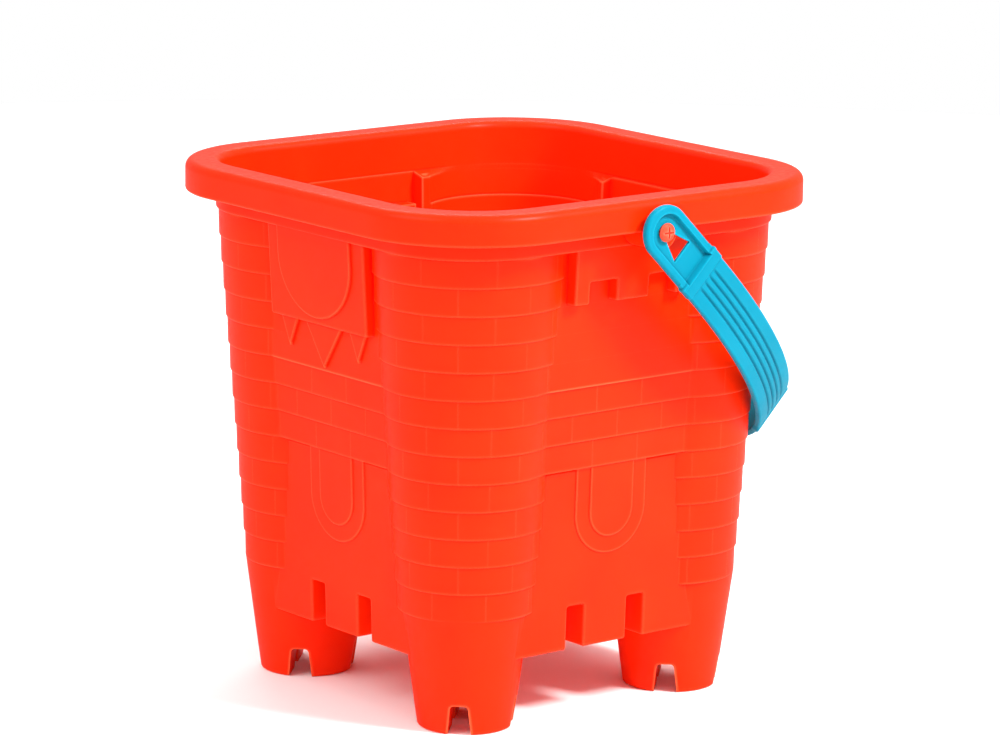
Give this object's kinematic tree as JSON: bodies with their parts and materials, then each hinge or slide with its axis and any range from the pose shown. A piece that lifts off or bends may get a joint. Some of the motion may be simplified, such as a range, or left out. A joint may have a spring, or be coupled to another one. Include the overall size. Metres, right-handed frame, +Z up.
{
  "type": "castle sand bucket",
  "caption": "Square plastic sand bucket moulded as a castle with round corner towers, gate and battlement reliefs, slotted feet and a swinging strap handle on push-in pegs.",
  "frame": {"origin": "centre of the square footprint at the bottom of the four tower feet", "axes": "+Z up through the open mouth; the gate walls face -Y and +Y; the handle's hinge axis runs along X through the battlement walls, and the handle rests on the +Y side"},
  "size_m": [0.2252, 0.21, 0.2165],
  "materials": {
    "red_polypropylene": "semi-gloss injection-moulded polypropylene",
    "cyan_polypropylene": "semi-gloss injection-moulded polypropylene",
    "coral_polypropylene": "semi-gloss injection-moulded polypropylene"
  },
  "bodies": {
    "bucket": {"bucket_shell": "red_polypropylene", "peg_right": "coral_polypropylene", "peg_left": "coral_polypropylene"},
    "handle": {"handle": "cyan_polypropylene"}
  },
  "joints": [
    {"name": "handle_swing", "type": "hinge", "parent": "bucket", "child": "handle", "pos_m": [0, 0, 0.2038], "axis": [1, 0, 0], "range_deg": [0, 270]}
  ]
}
